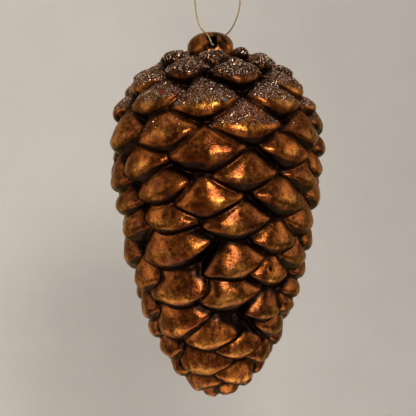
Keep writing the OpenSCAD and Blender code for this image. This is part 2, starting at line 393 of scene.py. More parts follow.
def scale_heights():
    """For every row and column the highest and the second highest cushion, and the number of the
    highest. A scale's own x and y are the turn times its radius and the distance along the crease
    line, turned by its lean and divided by its size."""
    first = np.full((ROWS, COLUMNS), FLOOR)
    second = np.full((ROWS, COLUMNS), FLOOR)
    owner = np.zeros((ROWS, COLUMNS), int)
    for number, (bearing, drop, size, lean) in enumerate(places):
        base_r = float(np.interp(drop, rows["outline_drop"], rows["r"]))
        along = float(np.interp(drop, rows["outline_drop"], rows["length"]))
        v = (rows["length"] - along)[:, None]
        near = np.abs(v[:, 0]) < (REACH_UP + NEAR) * size
        u = turn_from(bearing)[None, :] * max(base_r, WRAP_R)
        cos, sin = math.cos(lean), math.sin(lean)
        x = (u * cos - v[near] * sin) / size
        y = (u * sin + v[near] * cos) / (LEAST_TALL + (1 - LEAST_TALL) * size)
        standing = max(1 - drop / CROWN_END_DROP, 0)
        lift = size_at(float(outline_r(np.array(drop)))) * rises[number]
        lift *= 1 + CROWN_RISE * standing
        high = cushion(x, y, shifts[number], tilts[number], standing) * lift
        block, again, who = first[near], second[near], owner[near]
        top = high > block
        second[near] = np.where(top, block, np.maximum(again, high))
        first[near] = np.where(top, high, block)
        owner[near] = np.where(top, number, who)
    return first, second, owner


first, second, owner = scale_heights()
near_crease = np.exp(-((first - second) / GROOVE_W) ** 2)
local_size = size_at(outline_r(rows["outline_drop"]))[:, None]
height = first - GROOVE * near_crease * np.sqrt(local_size)
print(f"heights from {height.min():.1f} to {height.max():.1f} mm")

# %% [markdown]
# Blown and moulded things are never quite even. Noise textures could displace the mesh, but random
# numbers on the same grid, softened by averaging neighbours, do it without a modifier. The crown
# is lumpier than the rest, because the lacquer and glue for the glitter lie thickest there.

# %% Unevenness
# how often the field is softened, and its spread in millimetres
BODY_WAVES = [(16, 0.2), (4, 0.06)]
CROWN_WAVES = [(6, 0.35), (2, 0.1)]
CROWN_LUMPS_END = (0.06, 0.2)


def mixed(field, axis):
    """Each value becomes a half of itself and a quarter of both neighbours, round and round."""
    return 0.5 * field + 0.25 * (np.roll(field, 1, axis) + np.roll(field, -1, axis))


def soften(field, times):
    """Mixes each value with its neighbours round the axis, and in the same shares with those
    above and below, except in the end rows."""
    for _ in range(times):
        field = mixed(field, 1)
        inner = 0.5 * field[1:-1] + 0.25 * (field[:-2] + field[2:])
        field = np.vstack([field[:1], inner, field[-1:]])
    return field


def unevenness(waves):
    """Fields of random numbers on the grid, each softened and scaled to its spread, added up."""
    total = 0
    for softness, depth in waves:
        field = soften(rng.normal(size=(ROWS, COLUMNS)), softness)
        total = total + field * depth / field.std()
    return total


def step(low, high, value):
    """Goes smoothly from 0 at low to 1 at high: t^2 (3 - 2t)."""
    t = np.clip((value - low) / (high - low), 0, 1)
    return t * t * (3 - 2 * t)


share = rows["drop"][:, None] / CONE_L
height = soften(height, 1)
height += unevenness(BODY_WAVES) * np.sqrt(local_size)
height += unevenness(CROWN_WAVES) * (1 - step(*CROWN_LUMPS_END, share))
print(f"uneven heights from {height.min():.1f} to {height.max():.1f} mm")

# %% [markdown]
# Two scales in front carry a wide round dent, like a thumb's, and a few spots have a small pit
# where a bubble broke. They could be sculpted by hand. An oval with a smooth rim, taken off the
# height, keeps them in the same grid, and its mask is kept to paint shade into them in dark red.

# %% Dents and pits
DENT_RIM = (0.55, 1.15)
# bearing, drop in hundredths, half width, half height and depth in millimetres
THUMB_DENTS = [
    (-10.4, 33.0, 7.4, 6.0, 1.0), (-8.9, 45.4, 6.0, 4.8, 0.8), (52.6, 31.7, 3.4, 2.6, 0.8),
]
SMALL_PITS = [
    (36.3, 62.8, 1.5, 1.5, 1.0), (-13.3, 14.1, 1.3, 1.8, 1.0), (-75, 20.7, 2.0, 2.0, 1.4),
    (-58.7, 25.1, 1.6, 1.6, 0.8), (167, 45, 6.5, 5.0, 0.9), (-150, 30, 1.6, 1.6, 1.0),
]


def dent_shape(bearing, drop, wide, tall):
    """1 inside an oval round a place on the body, 0 outside it and smooth across its rim. The
    distance is the root of (across / wide)^2 + (along / tall)^2."""
    across = turn_from(bearing)[None, :] * rows["r"][:, None] / wide
    place = np.interp(drop / 100 * CONE_L, rows["outline_drop"], rows["length"])
    along = (rows["length"] - place) / tall
    return 1 - step(*DENT_RIM, np.hypot(across, along[:, None]))


# the mask of the dents and pits, which paints shade into them in dark red
dent_shade_mask = np.zeros_like(height)
for bearing, drop, wide, tall, depth in THUMB_DENTS + SMALL_PITS:
    shape = dent_shape(bearing, drop, wide, tall)
    height -= depth * shape
    dent_shade_mask = np.maximum(dent_shade_mask, shape)
print(len(THUMB_DENTS) + len(SMALL_PITS), "dents and pits")

# %% [markdown]
# A grid of points becomes a mesh by joining each point to its right and lower neighbours with one
# four-sided face. Faces have an inner and an outer side, and light and texture go wrong where they
# are inside out, so the signed volume is worked out and a mesh that came out negative is turned.

# %% Grid to mesh


def signed_volume(mesh):
    """A sixth of the sum, over the triangles, of a . (b x c): positive where faces point out."""
    mesh.calc_loop_triangles()
    corners = np.empty(len(mesh.loop_triangles) * 3, np.int32)
    mesh.loop_triangles.foreach_get("vertices", corners)
    spots = np.empty(len(mesh.vertices) * 3, np.float32)
    mesh.vertices.foreach_get("co", spots)
    a, b, c = np.moveaxis(spots.reshape(-1, 3)[corners.reshape(-1, 3)], 1, 0).astype(float)
    return float((a * np.cross(b, c)).sum() / 6)


def make_grid_mesh(name, points, wrap_rows=False):
    """Points on a grid of rows and columns become quads. The columns always close on themselves,
    and the rows do too where wrap_rows says so. Otherwise each end gets a pole, which is the
    middle of its row, and a fan of triangles."""
    count_r, count_c = points.shape[:2]
    index = np.arange(count_r * count_c).reshape(count_r, count_c)
    beside = np.roll(index, -1, axis=1)
    if wrap_rows:
        below, across = np.roll(index, -1, axis=0), np.roll(beside, -1, axis=0)
        faces = np.stack([index, beside, across, below], -1).reshape(-1, 4).tolist()
        verts = points.reshape(-1, 3)
    else:
        quads = np.stack([index[:-1], beside[:-1], beside[1:], index[1:]], -1).reshape(-1, 4)
        verts = np.vstack([points.reshape(-1, 3), points[0].mean(0), points[-1].mean(0)])
        top, bottom = len(verts) - 2, len(verts) - 1
        caps = [(top, int(n), int(i)) for i, n in zip(index[0], beside[0])]
        caps += [(bottom, int(i), int(n)) for i, n in zip(index[-1], beside[-1])]
        faces = quads.tolist() + caps
    mesh = bpy.data.meshes.new(name)
    mesh.from_pydata(verts, [], faces)
    mesh.polygons.foreach_set("use_smooth", np.ones(len(mesh.polygons), bool))
    mesh.update()
    if signed_volume(mesh) < 0:
        mesh.flip_normals()
    return mesh


print("a grid of", ROWS, "rows and", COLUMNS, "columns")

# %% [markdown]
# The body is the crease line turned round the axis, with every point moved outwards by its height.
# Pushed straight out, the scales would look like bubbles. Real scales hang over their lower
# neighbours, so each point also slides down the cone by a share of its height.

# %% Body
LEAN = 0.12
CROWN_LEAN = 0.4


def body_points(high):
    """A vertex is the crease line's point, moved out by the height along the normal and by lean
    times the height down the cone, and then turned round the axis."""
    lean = LEAN + CROWN_LEAN * np.clip(rows["down"][:, :1], 0, 1)
    r = rows["r"][:, None] + rows["normal"][:, :1] * high + rows["down"][:, :1] * lean * high
    d = rows["drop"][:, None] + rows["normal"][:, 1:] * high + rows["down"][:, 1:] * lean * high
    return np.stack([r * np.sin(turn) + BODY_SIDE, -r * np.cos(turn), -LOOP_H - d], -1) * MM


def add_piece(name, mesh):
    """A mesh becomes an object at the origin that belongs to the ornament's only body."""
    piece = add_object(name, mesh)
    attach(piece, "root")
    return piece


body = add_piece("cone_body", make_grid_mesh("cone_body", body_points(height)))
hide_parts("cone")
print(len(body.data.polygons), "faces in the body")

# %% [markdown]
# A finish depends on the shape: leaf wears off on the tops, patina stays in the creases, glitter
# settles on what faces up, and shade is painted on low ground, near the creases and under the
# lips. A shader can't feel that by itself, so the shape is measured here and written on the mesh as
# one number for each vertex. Baked maps would hold the same, but attributes need no image.

# %% Measures for the finish
CREASE_FADE = 4.0
CROWN_AGED = (0.54, 0.10, 0.19)
UPPER_AGED = (0.16, 0.16, 0.28)
DUST_END = (0.20, 0.28)
DUST_SLOPE = (0.18, 0.6)
DUST_RELIEF = (0.15, 0.45)


def write_numbers(mesh, name, values):
    """Writes one number for each vertex on the mesh, or the same number on them all."""
    flat = np.broadcast_to(values, len(mesh.vertices)).astype(np.float32)
    mesh.attributes.new(name, "FLOAT", "POINT").data.foreach_set("value", flat)


def grid_normals(mesh):
    """The vertex normals of a body mesh, back on the grid of rows and columns."""
    flat = np.empty(len(mesh.vertices) * 3, np.float32)
    mesh.vertex_normals.foreach_get("vector", flat)
    return flat.reshape(-1, 3)[:ROWS * COLUMNS].reshape(ROWS, COLUMNS, 3)


def fading(amount, low, high):
    """An amount from the top down to the share low of the drop, gone at the share high."""
    return amount * (1 - step(low, high, share))


normals = grid_normals(body.data)
outward = normals[..., 0] * np.sin(turn) - normals[..., 1] * np.cos(turn)
facing_down = outward * rows["down"][:, :1] - normals[..., 2] * rows["down"][:, 1:]
relief = np.clip(height / (SCALE_RISE * local_size), 0, 1)
dusted = 1 - step(*DUST_END, places[:, 1] / CONE_L)
glitter = step(*DUST_SLOPE, normals[..., 2]) * step(*DUST_RELIEF, relief) * dusted[owner]
tint = rng.uniform(0, 1, len(places))
measures = {
    "relief": relief,
    "gap": np.clip((first - second) / np.sqrt(local_size), 0, CREASE_FADE) / CREASE_FADE,
    # how much a face looks down: it paints shade under the lips
    "under": np.clip(np.minimum(facing_down, -normals[..., 2]), 0, 1),
    "aged": np.broadcast_to(fading(*CROWN_AGED) + fading(*UPPER_AGED), height.shape),
    "tint": tint[owner],
    "dent_shade": dent_shade_mask,
    "glitter": glitter,
}
for name, values in measures.items():
    poles = [values[0].mean(), values[-1].mean()]
    write_numbers(body.data, name, np.concatenate([values.ravel(), poles]))
    print(f"{name}: mean {values.mean():.2f}")

# %% [markdown]
# The stem knob is a bun with a flat foot, a little dented. Its formula says whether a point is
# inside, which is enough to find the skin along any ray. A sphere stretched and sculpted would do,
# but the hole through it needs a clean rim, and the formula gives one.

# %% Shape of the stem knob
KNOB_W = 26.0
KNOB_H = 20.0
KNOB_SQUARE = 0.8
KNOB_FOOT = 4
# depth, waves round the knob, turn in radians and waves from foot to top
KNOB_DENTS = [
    (0.025, 3, math.radians(40), 0), (0.018, 5, 0, 5), (0.018, 4, 0, -12), (0.010, 9, 0, 17),
]


def knob_inside(x, y, z):
    """The bun's equation: (distance from the axis / half the width)^(2/square) plus
    (height / half the height)^2, or to the power of KNOB_FOOT below the middle, which is 1 on its
    skin. Cosine waves of the bearing and the height pull the skin in."""
    bearing = np.arctan2(y, x)
    dent = 1 - KNOB_DENTS[0][0]
    for depth, waves, start, up in KNOB_DENTS:
        dent = dent - depth * np.cos(waves * bearing + start + up * z / KNOB_H)
    r = np.hypot(x, y) / (KNOB_W / 2 * dent)
    return r ** (2 / KNOB_SQUARE) + np.abs(z / (KNOB_H / 2)) ** np.where(z < 0, KNOB_FOOT, 2)


print(f"the knob's middle counts {knob_inside(np.zeros(1), np.zeros(1), np.zeros(1))[0]:.1f} of 1")

# %% [markdown]
# A hole cut with a boolean leaves long thin faces. Here the knob is a ring round its own hole: one
# closed path for each angle round the hole, over the skin from the front rim to the back rim and
# back through the hole. Deep inside, the hole narrows to where the two halves of the mould met, and
# so it looks dark from the front, as in the picture.

# %% Rays from the hole
HOLE_W = 4.2
HOLE_H = 6.4
HOLE_DROP = 5.2
HOLE_SIDE = 1.0
KNOB_ROUND = 112
LEAST_COS = 1e-6
HALVINGS = 40
around = np.arange(KNOB_ROUND) / KNOB_ROUND * 2 * math.pi
around_cos, around_sin = np.cos(around), np.sin(around)
hole_z = KNOB_H / 2 - HOLE_DROP


def hole_reach():
    """The distance from the hole's axis to its side, an upright slot with round ends: half the
    width over |cos|, or where that is beyond the straight part, the ray's way to the end's arc."""
    straight, half = (HOLE_H - HOLE_W) / 2, HOLE_W / 2
    to_side = half / np.maximum(np.abs(around_cos), LEAST_COS)
    inside = np.maximum(half ** 2 - (straight * around_cos) ** 2, 0)
    return np.minimum(to_side, straight * np.abs(around_sin) + np.sqrt(inside))


def knob_skin(angle):
    """The distance from the hole's middle to the skin along rays at these angles from the middle
    plane, found by halving the interval HALVINGS times."""
    low, high = np.zeros_like(angle), np.full_like(angle, KNOB_W)
    for _ in range(HALVINGS):
        half_way = (low + high) / 2
        across, along = half_way * np.cos(angle), half_way * np.sin(angle)
        x, z = HOLE_SIDE + across * around_cos, hole_z + across * around_sin
        inside = knob_inside(x, along, z) < 1
        low, high = np.where(inside, half_way, low), np.where(inside, high, half_way)
    return (low + high) / 2


print(f"the hole reaches {hole_reach().min():.1f} to {hole_reach().max():.1f} mm from its axis")

# %% [markdown]
# The rays give every point of the ring. First the rim is found, where skin and hole meet, and then
# the path is laid over the skin and back through the hole. A bevel would round the rims as well,
# but softening the path a few times rounds them with no new faces.

# %% Knob round its hole
HOLE_NARROW = 0.82
HOLE_STRAIGHT = 8.5
HOLE_SINK = 1.9
KNOB_OUT = 72
KNOB_IN = 26
RIM_START = 1.2
RIM_TRIES = 30
RIM_SOFT = 5


def make_knob():
    """The rim is where the skin is as far from the axis as the hole's side. The path goes over
    the skin in even angles from rim to rim, then straight back. It is softened to round the rims.
    Within HOLE_STRAIGHT of the middle plane it is drawn in by HOLE_NARROW and down by HOLE_SINK,
    both times 1 - (distance / HOLE_STRAIGHT)^2."""
    reach = hole_reach()
    rim = np.full(KNOB_ROUND, RIM_START)
    for _ in range(RIM_TRIES):
        rim = np.arccos(np.clip(reach / knob_skin(-rim), 0, 1))
    angle = np.linspace(-1, 1, KNOB_OUT)[:, None] * rim[None, :]
    far = knob_skin(angle)
    outer = np.stack([far * np.cos(angle), far * np.sin(angle)], -1)
    back = np.linspace(1, -1, KNOB_IN + 2)[1:-1, None] * outer[-1, :, 1][None, :]
    inner = np.stack([np.broadcast_to(reach, back.shape), back], -1)
    path = np.concatenate([outer, inner])
    deep = np.clip(1 - (path[..., 1] / HOLE_STRAIGHT) ** 2, 0, 1)
    deep[:KNOB_OUT] = 0
    for _ in range(RIM_SOFT):
        path, deep = mixed(path, 0), mixed(deep, 0)
    across, along = path[..., 0] * (1 - HOLE_NARROW * deep), path[..., 1]
    x = HOLE_SIDE + across * around_cos
    z = hole_z + across * around_sin - HOLE_SINK * deep - LOOP_H - KNOB_H / 2
    return np.stack([x, along, z], -1) * MM


knob = add_piece("stem_knob", make_grid_mesh("stem_knob", make_knob(), wrap_rows=True))
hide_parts("cone")
print(len(knob.data.polygons), "faces in the knob")

# %% [markdown]
# The knob wears the same finish as the body. It could have a material of its own, but then a change
# of colour would have to be made twice, so it gets the same numbers on its vertices instead. Its
# outside counts as a half worn face with dark patches, and the inside of the hole as the bottom of
# a crease, which paints shade into the hole.

# %% Measures of the knob
KNOB_RELIEF = 0.56
PATCH_SOFT = 40
PATCH_EDGE = (-0.2, 1.2)
PATCH_AGED = (0.15, 0.5)
knob_relief = np.full((KNOB_OUT + KNOB_IN, KNOB_ROUND), KNOB_RELIEF)
# no relief inside the hole: painted shade there
knob_relief[KNOB_OUT:] = 0.0
knob_patches = soften(rng.normal(size=knob_relief.shape), PATCH_SOFT)
knob_patches = step(*PATCH_EDGE, knob_patches / knob_patches.std())
knob_patches = PATCH_AGED[0] + PATCH_AGED[1] * knob_patches
knob_measures = {
    "relief": knob_relief.ravel(), "gap": 1.0, "under": 0.1, "aged": knob_patches.ravel(),
    "tint": 0.5, "glitter": 0.0, "dent_shade": 0.0,
}
for name, value in knob_measures.items():
    write_numbers(knob.data, name, value)
print(f"patches on the knob from {knob_patches.min():.2f} to {knob_patches.max():.2f}")

# %% [markdown]
# Each material is a tree of nodes round one Principled shader. Trees can be joined by hand in the
# shader editor. Written as helpers, a node and its links are one line, and the whole finish can be
# read from top to bottom.

# %% Helpers for nodes
COLOUR_SOCKETS = (0, 6, 7)
COLOUR_RESULT = 2


def new_material(name):
    """A new material, its tree of nodes and its shader."""
    material = bpy.data.materials.new(name)
    material.use_nodes = True
    tree = material.node_tree
    return material, tree, tree.nodes["Principled BSDF"]


def link(tree, source, target):
    """Joins an output to an input."""
    tree.links.new(source, target)


def set_numbers(node, numbers):
    """Sets the node's own sockets, by name, to values that are the same all over."""
    for name, number in numbers.items():
        node.inputs[name].default_value = number


def attribute(tree, name):
    """Reads one of the mesh's own numbers."""
    node = tree.nodes.new("ShaderNodeAttribute")
    node.attribute_name = name
    return node.outputs["Fac"]


def remap(tree, value, low, high, out_low=0.0, out_high=1.0):
    """Goes smoothly from out_low, where the value is low, to out_high, where it is high."""
    node = tree.nodes.new("ShaderNodeMapRange")
    node.interpolation_type = "SMOOTHSTEP"
    set_numbers(node, {
        "From Min": low, "From Max": high, "To Min": out_low, "To Max": out_high,
    })
    link(tree, value, node.inputs["Value"])
    return node.outputs["Result"]


def maths(tree, operation, *values):
    """One sum or comparison. Each value is a number or an output of another node."""
    node = tree.nodes.new("ShaderNodeMath")
    node.operation = operation
    for socket, value in zip(node.inputs, values):
        if isinstance(value, (int, float)):
            socket.default_value = value
        else:
            link(tree, value, socket)
    return node.outputs[0]


def mix_colour(tree, factor, first, second):
    """The first colour where the factor is 0, the second where it is 1. The node also mixes
    numbers and vectors, so the sockets for colours have numbers of their own."""
    node = tree.nodes.new("ShaderNodeMix")
    node.data_type = "RGBA"
    for number, value in zip(COLOUR_SOCKETS, (factor, first, second)):
        if isinstance(value, tuple):
            node.inputs[number].default_value = (*value, 1)
        else:
            link(tree, value, node.inputs[number])
    return node.outputs[COLOUR_RESULT]


def place_mm(tree, shift=(0, 0, 0)):
    """The place on the object in millimetres, moved by the shift."""
    coordinates = tree.nodes.new("ShaderNodeTexCoord")
    mapping = tree.nodes.new("ShaderNodeMapping")
    set_numbers(mapping, {"Scale": (1 / MM, 1 / MM, 1 / MM), "Location": shift})
    link(tree, coordinates.outputs["Object"], mapping.inputs["Vector"])
    return mapping.outputs["Vector"]


def bumped(tree, shader, height_field, distance, strength=1.0):
    """Tilts the shading as if the surface rose by the distance where the field goes from 0 to 1."""
    bump = tree.nodes.new("ShaderNodeBump")
    set_numbers(bump, {"Distance": distance, "Strength": strength})
    link(tree, height_field, bump.inputs["Height"])
    link(tree, bump.outputs["Normal"], shader.inputs["Normal"])


print("helpers for nodes are ready")

# %% [markdown]
# The mottling of the leaf, the fibres of the thread and the faint clouds on the backdrop are one
# effect at different sizes: grain. It could be set up anew in each material. As a node group it is
# built once, and each material places it with its own numbers.

# %% Grain, a shared group


def make_grain_group():
    """Layered noise whose widest spots are Size millimetres across: its scale is 1 / Size."""
    group = bpy.data.node_groups.new("grain", "ShaderNodeTree")
    group.interface.new_socket("Place", in_out="INPUT", socket_type="NodeSocketVector")
    for name in ("Size", "Detail", "Roughness", "Distortion"):
        group.interface.new_socket(name, in_out="INPUT", socket_type="NodeSocketFloat")
    group.interface.new_socket("Grain", in_out="OUTPUT", socket_type="NodeSocketFloat")
    start, end = group.nodes.new("NodeGroupInput"), group.nodes.new("NodeGroupOutput")
    texture = group.nodes.new("ShaderNodeTexNoise")
    link(group, start.outputs["Place"], texture.inputs["Vector"])
    link(group, maths(group, "DIVIDE", 1.0, start.outputs["Size"]), texture.inputs["Scale"])
    for name in ("Detail", "Roughness", "Distortion"):
        link(group, start.outputs[name], texture.inputs[name])
    link(group, texture.outputs["Fac"], end.inputs["Grain"])
    return group


grain_group = make_grain_group()


def grain(tree, place, size, detail=3.0, roughness=0.6, distortion=0.0):
    """Places the grain group in a material with its own numbers."""
    node = tree.nodes.new("ShaderNodeGroup")
    node.node_tree = grain_group
    link(tree, place, node.inputs["Place"])
    set_numbers(node, {
        "Size": size, "Detail": detail, "Roughness": roughness, "Distortion": distortion,
    })
    return node.outputs["Grain"]


print("group", grain_group.name, "with", len(grain_group.nodes), "nodes")

# %% [markdown]
# The cone wears metal leaf under amber lacquer, rubbed on the tops and blackened with patina in the
# creases. The same mask also paints shade on low ground between the scales and under the lips.
# Painted maps would need an unwrapped mesh. Here the masks come from the numbers on the mesh, and
# grain frays their edges, so that no border looks ruled.

# %% Masks of the leaf
SECOND_PLACE = (37, 11, 5)
# size in millimetres, detail, roughness and distortion of each grain
PATCH_GRAIN = (8.0, 4, 0.62, 0.5)
FINE_GRAIN = (2.2, 5, 0.7)
FLECK_GRAIN = (1.3, 3, 0.65)
CLOUD_GRAIN = (11.0, 3, 0.55)
SAND_GRAIN = (0.55, 2, 0.6)
RAGGED = 0.9
# each mask goes from the first number to the second, and from the third value to the fourth
# LOW_RELIEF and FACING_DOWN paint shade on low ground and under the lips, NEAR_CREASE paints patina
# and shade in the creases
LOW_RELIEF = (0.12, 0.65, 1, 0)
FACING_DOWN = (0.15, 0.6, 0, 0.9)
NEAR_CREASE = (0.05, 0.5, 1, 0)
PATINA_AND_SHADE_EDGE = (0.1, 0.8)
FROST_EDGE = (0.25, 0.75)
SAND_EDGE = (0.60, 0.68)


def leaf_fields(tree):
    """The fields that the leaf reads, by name: the mesh's numbers, five grains and what follows
    from them. dark is the greatest of low relief, facing down and nearness to
    a crease, plus age and a ragged edge: patina in the creases and painted shade on low ground and
    under the lips. frost is the glitter with the same ragged edge, and grit its finest part."""
    here, there = place_mm(tree), place_mm(tree, SECOND_PLACE)
    f = {name: attribute(tree, name) for name in measures}
    f["here"] = here
    f["patch"], f["fine"] = grain(tree, here, *PATCH_GRAIN), grain(tree, here, *FINE_GRAIN)
    f["fleck"], f["cloud"] = grain(tree, there, *FLECK_GRAIN), grain(tree, there, *CLOUD_GRAIN)
    ragged = maths(tree, "MULTIPLY", maths(tree, "SUBTRACT", f["fine"], 0.5), RAGGED)
    # painted shade on low ground between the scales, in one mask with the patina
    low = remap(tree, f["relief"], *LOW_RELIEF)
    painted_shade_below = remap(tree, f["under"], *FACING_DOWN)
    crease_patina_and_shade = remap(tree, f["gap"], *NEAR_CREASE)
    dark = maths(tree, "MAXIMUM", maths(tree, "MAXIMUM", low, painted_shade_below), crease_patina_and_shade)
    f["dark"] = maths(tree, "ADD", maths(tree, "ADD", dark, f["aged"]), ragged)
    f["shade_and_patina_mask"] = remap(tree, f["dark"], *PATINA_AND_SHADE_EDGE)
    f["frost"] = remap(tree, maths(tree, "ADD", f["glitter"], ragged), *FROST_EDGE)
    sand = remap(tree, grain(tree, there, *SAND_GRAIN), *SAND_EDGE)
    f["grit"] = maths(tree, "MULTIPLY", sand, f["frost"])
    return f


print("the leaf reads", ", ".join(measures))

# %% [markdown]
# Colours are laid one over another, as the maker does, with painted shade among them: leaf under
# thin and thick lacquer, a red tone in places that is painted shade in the dents and pits, the gold
# where it is rubbed, then patina that also paints shade on low ground and under the lips, specks,
# and the glue and fine grit under the glitter. One ramp from dark to bright would be shorter, but it
# would look like plastic.

# %% Colours of the leaf
DEEP_AMBER = (0.080, 0.0142, 0.003)
BRIGHT_AMBER = (0.44, 0.118, 0.0145)
# a red tone in random clouds, and painted shade in the dents and pits
RED_TONE_AND_DENT_SHADE = (0.11, 0.017, 0.002)
RUBBED_GOLD = (0.82, 0.34, 0.05)
# patina in the creases, and painted shade on low ground and under the lips
PATINA_AND_SHADE_COLOUR = (0.008, 0.0024, 0.0011)
SPECK = (0.035, 0.006, 0.0015)
GLUE = (0.030, 0.011, 0.007)
GRIT = (0.60, 0.31, 0.17)
AMBER_EDGE = (0.38, 0.64)
CLOUD_STAIN = (0.50, 0.64, 0, 0.6)
# painted shade in dark red inside the dents and pits
DENT_SHADE_RANGE = (0.3, 0.9, 0, 0.85)
TOPS = (0.85, 1.0)
UNEVEN_RUB = (0.43, 0.61, 0.1, 0.65)
UNAGED = (0.1, 0.5, 1, 0.1)
SPECKLED = (0.60, 0.74, 0, 0.6)
GLUE_SHARE = 0.6
TINT_RANGE = (0, 1, 0.75, 1.2)


def leaf_colour(tree, f):
    """Each layer is mixed in by its own mask. mottled is the mean of patch and fine grain, and
    sets amber and rubbed gold. Last, the tint of each scale makes it lighter or darker."""
    mottled = maths(tree, "MULTIPLY", maths(tree, "ADD", f["patch"], f["fine"]), 0.5)
    clouded, painted_dent_shade = remap(tree, f["cloud"], *CLOUD_STAIN), remap(tree, f["dent_shade"], *DENT_SHADE_RANGE)
    rubbed = maths(tree, "MULTIPLY", remap(tree, f["relief"], *TOPS),
                   remap(tree, mottled, *UNEVEN_RUB))
    rubbed = maths(tree, "MULTIPLY", rubbed, remap(tree, f["aged"], *UNAGED))
    layers = [
        (remap(tree, mottled, *AMBER_EDGE), BRIGHT_AMBER),
        # red clouds, and painted shade in the dents and pits
        (maths(tree, "MAXIMUM", clouded, painted_dent_shade), RED_TONE_AND_DENT_SHADE),
        (rubbed, RUBBED_GOLD),
        # patina, and painted shade on low ground and under the lips
        (f["shade_and_patina_mask"], PATINA_AND_SHADE_COLOUR),
        (remap(tree, f["fleck"], *SPECKLED), SPECK),
        (maths(tree, "MULTIPLY", f["frost"], GLUE_SHARE), GLUE),
        (f["grit"], GRIT),
    ]
    colour = DEEP_AMBER
    for mask, paint in layers:
        colour = mix_colour(tree, mask, colour, paint)
    toned = tree.nodes.new("ShaderNodeHueSaturation")
    link(tree, remap(tree, f["tint"], *TINT_RANGE), toned.inputs["Value"])
    link(tree, colour, toned.inputs["Color"])
    return toned.outputs["Color"]


print("amber from", DEEP_AMBER, "to", BRIGHT_AMBER)

# %% [markdown]
# A few single spots stand out on the real cone: two red beads and a pale one that stick in the
# glitter. Black spots paint the shade in small pits. Each is a round mask by distance from a place
# on the surface, which is simpler than a mesh for something a millimetre wide.

# %% Beads and painted shade in the pits
RED_BEAD = (0.24, 0.006, 0.012)
DARK_BEAD = (0.10, 0.004, 0.008)
PALE_BEAD = (0.15, 0.16, 0.13)
# black painted shade in small pits
PIT_SHADE = (0.004, 0.002, 0.001)
# bearing, drop in hundredths, radius in millimetres and colour
SPOTS = [
    (-35.5, 14.0, 1.6, RED_BEAD), (-17.5, 15.6, 1.2, DARK_BEAD), (5.7, 16.0, 1.3, PALE_BEAD),
    (36.3, 62.8, 1.2, PIT_SHADE), (20.7, 51.1, 0.8, PIT_SHADE), (-75, 20.7, 1.5, PIT_SHADE),
]
SPOT_INNER = 0.75
SPOT_OUTER = 1.15
finished_points = body_points(height) / MM


def place_on_body(bearing, drop):
    """The grid's point at a bearing and a drop, in millimetres."""
    row = int(np.argmin(np.abs(rows["outline_drop"] - drop / 100 * CONE_L)))
    column = int(np.argmin(np.abs(turn - math.radians(bearing))))
    return finished_points[row, column]


def with_spots(tree, place, colour):
    """Paints each spot: 1 inside its radius times SPOT_INNER, 0 outside it times SPOT_OUTER."""
    for bearing, drop, radius, paint in SPOTS:
        node = tree.nodes.new("ShaderNodeVectorMath")
        node.operation = "DISTANCE"
        link(tree, place, node.inputs[0])
        node.inputs[1].default_value = place_on_body(bearing, drop)
        edge = (radius * SPOT_INNER, radius * SPOT_OUTER)
        spot = remap(tree, node.outputs["Value"], *edge, 1, 0)
        colour = mix_colour(tree, spot, colour, paint)
    return colour


print(len(SPOTS), "spots, the first at", place_on_body(*SPOTS[0][:2]).round(1), "mm")

# %% [markdown]
# Leaf is metal, so it has no colour of its own in the shade and bright coloured highlights. The
# lacquer is a thin clear coat on it, left out where patina and painted shade lie. A bump from the
# same grain breaks the highlights up. Real displacement would be finer than the mesh and isn't
# needed.

# %% Leaf material
LEAF_METAL = 0.85
FINE_ROUGH = (0.3, 0.7, 0.17, 0.32)
ROUGHER = {"shade_and_patina_mask": 0.1, "frost": 0.2}
EDGE_LEVEL = 0.3
WARM_EDGE = (0.85, 0.66, 0.42, 1)
LACQUER = (0.3, 0.9, 0.10, 0.01)
LACQUER_ROUGH = 0.3
BUMPIER = {"fleck": 0.5, "patch": 0.8, "grit": 0.8}
BUMP_HEIGHT = 0.0006
BUMP_STRENGTH = 0.32


def plus_shares(tree, value, f, shares):
    """Adds a share of each of the named fields to a value."""
    for name, part in shares.items():
        value = maths(tree, "ADD", value, maths(tree, "MULTIPLY", f[name], part))
    return value


def leaf_material():
    """The colour, how rough, how much lacquer and how bumpy the leaf is, from the same masks."""
    material, tree, shader = new_material("antique_leaf")
    f = leaf_fields(tree)
    link(tree, with_spots(tree, f["here"], leaf_colour(tree, f)), shader.inputs["Base Color"])
    rough = plus_shares(tree, remap(tree, f["fine"], *FINE_ROUGH), f, ROUGHER)
    link(tree, rough, shader.inputs["Roughness"])
    link(tree, remap(tree, f["dark"], *LACQUER), shader.inputs["Coat Weight"])
    set_numbers(shader, {
        "Metallic": LEAF_METAL, "Specular IOR Level": EDGE_LEVEL, "Specular Tint": WARM_EDGE,
        "Coat Roughness": LACQUER_ROUGH,
    })
    uneven = plus_shares(tree, f["fine"], f, BUMPIER)
    bumped(tree, shader, uneven, BUMP_HEIGHT, BUMP_STRENGTH)
    return material


leaf = leaf_material()
body.data.materials.append(leaf)
knob.data.materials.append(leaf)
print(leaf.name, "has", len(leaf.node_tree.nodes), "nodes")

# %% [markdown]
# Glitter is cut foil: thousands of tiny flakes at all angles, and only those that mirror the lamp
# flash. Bright dots in the texture wouldn't move as the light moves. So each flake is real here, a
# flat octahedron of eight triangles, which has an outside all round and costs little.

# %% Places of the flakes
FLAKES = 11000
FLAKE_R = (0.16, 0.38)
FLAKE_THICK = 0.25
FLAKE_TILT = 0.45
FLAKE_LIFT = 0.12
DENSER = 1.5
BARE_ROUND = 1.3
LEAST_AREA = 1e-9


